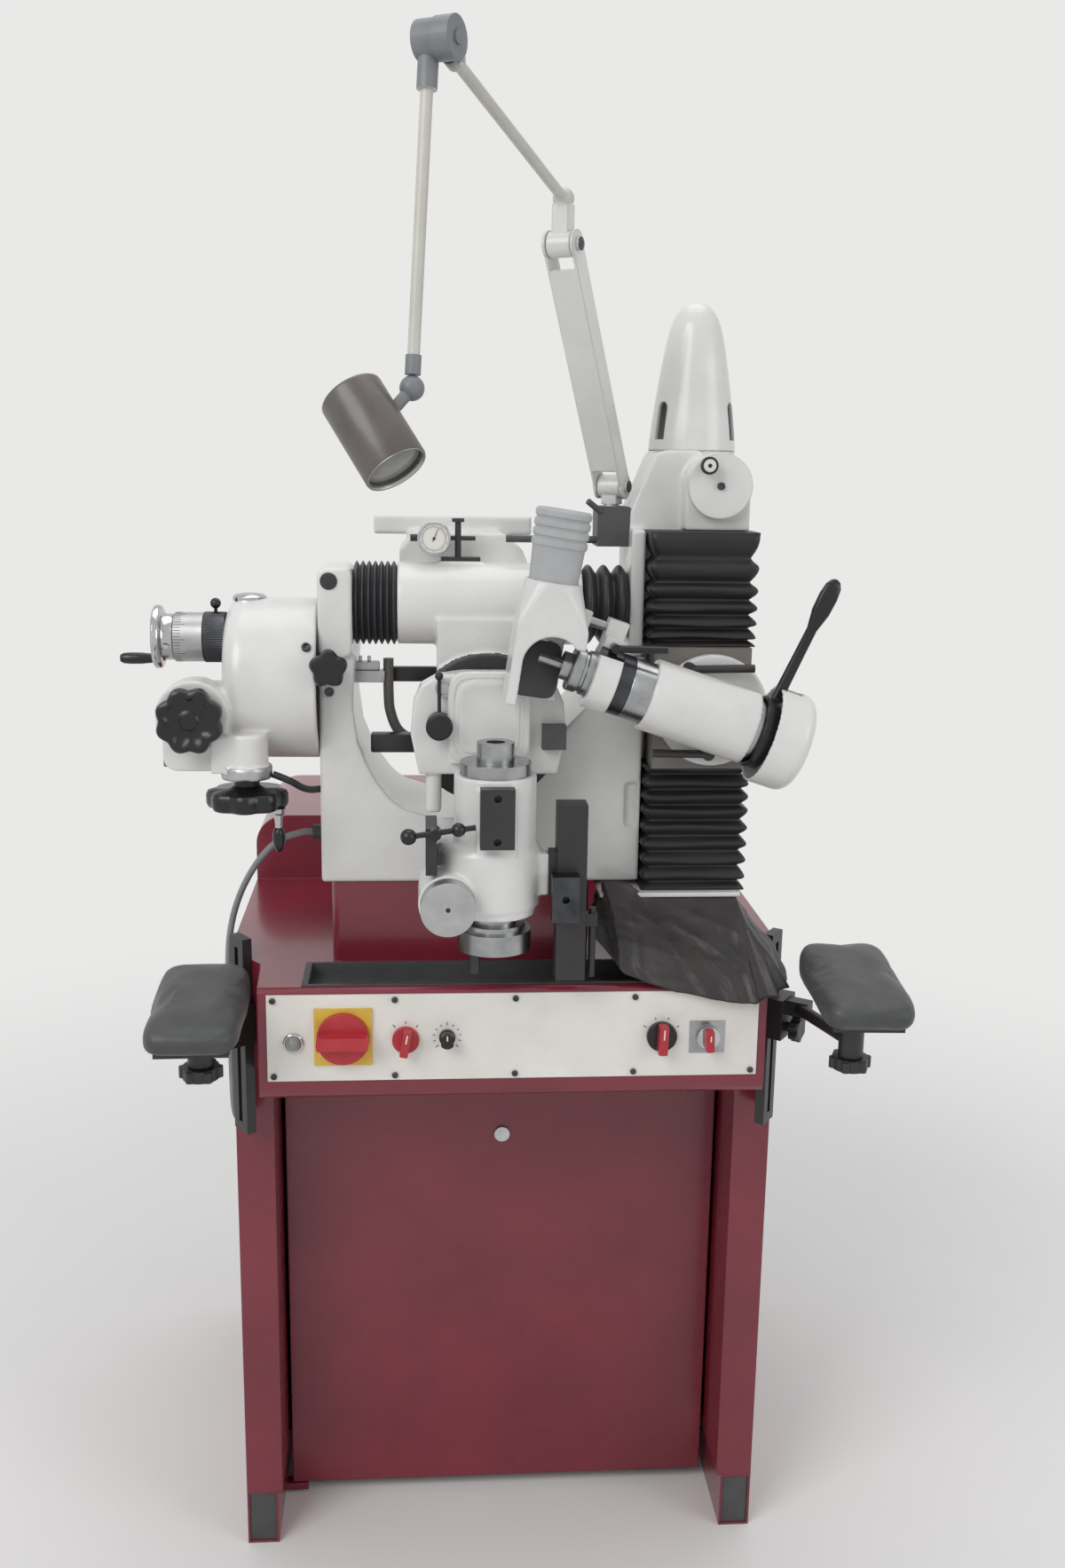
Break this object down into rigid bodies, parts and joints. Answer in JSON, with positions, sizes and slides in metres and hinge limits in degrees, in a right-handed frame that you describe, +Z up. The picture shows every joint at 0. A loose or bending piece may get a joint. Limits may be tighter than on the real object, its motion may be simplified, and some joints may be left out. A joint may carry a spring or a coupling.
{
  "type": "tool and cutter grinder",
  "caption": "Floor-standing tool and cutter grinder: cabinet with console and armrests, sliding carriage with vertical workhead, tilting wheelhead on a column, lamp on a jointed arm.",
  "frame": {"origin": "on the floor, in the middle of the four anchor holes in the skids", "axes": "+Z up, -Y to the operator, +X to the operator's right"},
  "size_m": [0.8707, 0.984, 1.7511],
  "materials": {
    "wine_enamel": "gloss",
    "white_enamel": "semi-gloss",
    "panel_paint": "satin",
    "steel": "machined",
    "dark_steel": "satin",
    "black_steel": "satin",
    "grey_metal": "satin",
    "red_plastic": "gloss",
    "black_plastic": "satin",
    "grey_plastic": "matte",
    "bellows_rubber": "matte",
    "cable_rubber": "matte",
    "pad_leather": "satin"
  },
  "bodies": {
    "base": {"cabinet_shell": "wine_enamel", "console_housing": "wine_enamel", "skid_tubes": "wine_enamel", "skid_plugs": "black_plastic", "control_panel": "panel_paint", "panel_fittings": "steel", "deck_tray": "grey_plastic", "main_frame": "white_enamel", "guide_bar": "steel", "carriage_bellows": "bellows_rubber", "feed_gearbox": "white_enamel", "feed_collar": "dark_steel", "feed_cable": "cable_rubber", "column": "white_enamel", "column_cap": "white_enamel", "column_bellows": "bellows_rubber", "armrest_rails": "black_steel", "leather_apron": "pad_leather", "mains_cord": "cable_rubber", "cord_glands": "black_plastic", "lamp_clamp": "dark_steel"},
    "door": {"door": "wine_enamel"},
    "main_switch": {"main_switch": "red_plastic"},
    "mode_selector": {"mode_selector": "red_plastic"},
    "speed_dial": {"speed_dial": "black_plastic"},
    "wheel_selector": {"wheel_selector": "red_plastic"},
    "light_selector": {"light_selector": "red_plastic"},
    "left_bracket": {"left_bracket": "black_steel"},
    "left_pad": {"left_pad": "pad_leather"},
    "right_bracket": {"right_bracket": "black_steel"},
    "right_pad": {"right_pad": "pad_leather"},
    "carriage": {"carriage": "white_enamel", "dial_gauge": "steel"},
    "fine_feed_wheel": {"fine_feed_wheel": "steel"},
    "star_wheel": {"star_wheel": "black_plastic"},
    "crank_handwheel": {"crank_handwheel": "black_plastic"},
    "frame_clamp_knob": {"frame_clamp_knob": "black_plastic"},
    "workhead": {"swivel_plate": "white_enamel", "workhead_body": "white_enamel", "rest_rail": "black_steel"},
    "work_spindle": {"work_spindle": "steel"},
    "index_dial": {"index_dial": "steel"},
    "index_lever": {"index_lever": "black_plastic"},
    "rest_block": {"rest_block": "dark_steel"},
    "wheelhead": {"wheelhead_slide": "dark_steel"},
    "crank_disc": {"crank_disc": "white_enamel"},
    "lift_screw": {"lift_screw": "steel"},
    "spindle": {"spindle_housing": "white_enamel", "swivel_clamps": "black_steel"},
    "quill": {"quill": "dark_steel", "guard_collar": "white_enamel"},
    "hand_lever": {"hand_lever": "black_steel"},
    "arbor": {"arbor": "steel"},
    "guard": {"wheel_guard": "white_enamel", "suction_cuff": "grey_plastic"},
    "lamp_fork": {"lamp_fork": "white_enamel"},
    "lamp_lower_arm": {"lamp_lower_arm": "white_enamel"},
    "lamp_upper_arm": {"lamp_upper_arm": "grey_metal"},
    "lamp_drop_arm": {"lamp_drop_arm": "grey_metal"},
    "lamp_head": {"lamp_head": "black_plastic"}
  },
  "joints": [
    {"name": "door_hinge", "type": "hinge", "parent": "base", "child": "door", "pos_m": [-0.268, -0.179, 0.34], "axis": [0, 0, -1], "range_deg": [0, 90]},
    {"name": "main_switch_turn", "type": "hinge", "parent": "base", "child": "main_switch", "pos_m": [-0.191, -0.432, 0.759], "axis": [0, 1, 0], "range_deg": [0, 90]},
    {"name": "mode_selector_turn", "type": "hinge", "parent": "base", "child": "mode_selector", "pos_m": [-0.122, -0.432, 0.755], "axis": [0, 1, 0], "range_deg": [-45, 45]},
    {"name": "speed_dial_turn", "type": "hinge", "parent": "base", "child": "speed_dial", "pos_m": [-0.076, -0.432, 0.757], "axis": [0, 1, 0], "range_deg": [-135, 135]},
    {"name": "wheel_selector_turn", "type": "hinge", "parent": "base", "child": "wheel_selector", "pos_m": [0.165, -0.432, 0.755], "axis": [0, 1, 0], "range_deg": [-45, 45]},
    {"name": "light_selector_turn", "type": "hinge", "parent": "base", "child": "light_selector", "pos_m": [0.218, -0.432, 0.753], "axis": [0, 1, 0], "range_deg": [-45, 45]},
    {"name": "left_rest_lift", "type": "slide", "parent": "base", "child": "left_bracket", "axis": [0, 0, 1], "range_m": [-0.06, 0.05]},
    {"name": "left_pad_swivel", "type": "hinge", "parent": "left_bracket", "child": "left_pad", "pos_m": [-0.345, -0.44, 0.78], "axis": [0, 0, 1], "range_deg": [-2, 30]},
    {"name": "right_rest_lift", "type": "slide", "parent": "base", "child": "right_bracket", "axis": [0, 0, 1], "range_m": [-0.06, 0.05]},
    {"name": "right_pad_swivel", "type": "hinge", "parent": "right_bracket", "child": "right_pad", "pos_m": [0.378, -0.44, 0.78], "axis": [0, 0, 1], "range_deg": [-30, 2]},
    {"name": "carriage_slide", "type": "slide", "parent": "base", "child": "carriage", "axis": [1, 0, 0], "range_m": [-0.02, 0.02], "deforming": ["carriage_bellows"]},
    {"name": "fine_feed_turn", "type": "hinge", "parent": "base", "child": "fine_feed_wheel", "pos_m": [-0.391, -0.29, 1.186], "axis": [1, 0, 0], "range_deg": [-725, 725]},
    {"name": "star_turn", "type": "hinge", "parent": "base", "child": "star_wheel", "pos_m": [-0.352, -0.381, 1.108], "axis": [0, 1, 0], "continuous": true},
    {"name": "crank_handwheel_turn", "type": "hinge", "parent": "base", "child": "crank_handwheel", "pos_m": [-0.296, -0.362, 1.02], "axis": [0, 0, 1], "continuous": true},
    {"name": "frame_clamp_turn", "type": "hinge", "parent": "base", "child": "frame_clamp_knob", "pos_m": [-0.204, -0.364, 1.164], "axis": [0, 1, 0], "continuous": true},
    {"name": "workhead_swivel", "type": "hinge", "parent": "carriage", "child": "workhead", "pos_m": [-0.031, -0.364, 1.092], "axis": [0, 1, 0], "range_deg": [-12, 12]},
    {"name": "work_spindle_spin", "type": "hinge", "parent": "workhead", "child": "work_spindle", "pos_m": [-0.026, -0.44, 1], "axis": [0, 0, 1], "continuous": true},
    {"name": "index_dial_turn", "type": "hinge", "parent": "workhead", "child": "index_dial", "pos_m": [-0.077, -0.496, 0.93], "axis": [0, 1, 0], "continuous": true},
    {"name": "index_lever_swing", "type": "hinge", "parent": "workhead", "child": "index_lever", "pos_m": [-0.09, -0.496, 1.01], "axis": [0, 1, 0], "range_deg": [-15, 15]},
    {"name": "rest_block_slide", "type": "slide", "parent": "workhead", "child": "rest_block", "axis": [0, 0, 1], "range_m": [-0.04, 0.04]},
    {"name": "column_slide", "type": "slide", "parent": "base", "child": "wheelhead", "axis": [0, 0, 1], "range_m": [-0.01, 0.06], "deforming": ["column_bellows"]},
    {"name": "column_crank_turn", "type": "hinge", "parent": "base", "child": "crank_disc", "pos_m": [0.224, -0.331, 1.361], "axis": [0, 1, 0], "range_deg": [-185, 1085]},
    {"name": "lift_screw_turn", "type": "hinge", "parent": "base", "child": "lift_screw", "pos_m": [0.207, -0.277, 1.1], "axis": [0, 0, 1], "range_deg": [-365, 2165]},
    {"name": "spindle_swivel", "type": "hinge", "parent": "wheelhead", "child": "spindle", "pos_m": [0.217, -0.37, 1.118], "axis": [0, 1, 0], "range_deg": [0, 25]},
    {"name": "quill_stroke", "type": "slide", "parent": "spindle", "child": "quill", "axis": [-0.9483, 0, 0.3173], "range_m": [-0.01, 0.01]},
    {"name": "hand_lever_swing", "type": "hinge", "parent": "spindle", "child": "hand_lever", "pos_m": [0.25873, -0.43, 1.10404], "axis": [0, 1, 0], "range_deg": [-8.1, 8.1]},
    {"name": "arbor_spin", "type": "hinge", "parent": "quill", "child": "arbor", "pos_m": [0.03113, -0.43, 1.18019], "axis": [-0.9483, 0, 0.3173], "continuous": true},
    {"name": "guard_slide", "type": "slide", "parent": "quill", "child": "guard", "axis": [-0.9483, 0, 0.3173], "range_m": [0, 0.012]},
    {"name": "lamp_swivel", "type": "hinge", "parent": "base", "child": "lamp_fork", "pos_m": [0.112, -0.27, 1.338], "axis": [0, 0, 1], "range_deg": [-35, 25]},
    {"name": "lamp_lower_tilt", "type": "hinge", "parent": "lamp_fork", "child": "lamp_lower_arm", "pos_m": [0.112, -0.27, 1.358], "axis": [0.866, -0.5, 0], "range_deg": [-12, 8]},
    {"name": "lamp_elbow_tilt", "type": "hinge", "parent": "lamp_lower_arm", "child": "lamp_upper_arm", "pos_m": [0.03912, -0.39623, 1.60058], "axis": [0.866, -0.5, 0], "range_deg": [-20, 12]},
    {"name": "lamp_top_tilt", "type": "hinge", "parent": "lamp_upper_arm", "child": "lamp_drop_arm", "pos_m": [-0.08947, -0.61895, 1.73313], "axis": [0.866, -0.5, 0], "range_deg": [-15, 25]},
    {"name": "lamp_head_tilt", "type": "hinge", "parent": "lamp_drop_arm", "child": "lamp_head", "pos_m": [-0.11231, -0.64053, 1.44671], "axis": [0.866, -0.5, 0], "range_deg": [-30, 30]}
  ],
  "couplings": [
    {"joint": "fine_feed_turn", "follows": "carriage_slide", "rad_per_m": 628.32},
    {"joint": "column_crank_turn", "follows": "column_slide", "rad_per_m": 314.16},
    {"joint": "lift_screw_turn", "follows": "column_slide", "rad_per_m": 628.32},
    {"joint": "hand_lever_swing", "follows": "quill_stroke", "rad_per_m": 14}
  ]
}
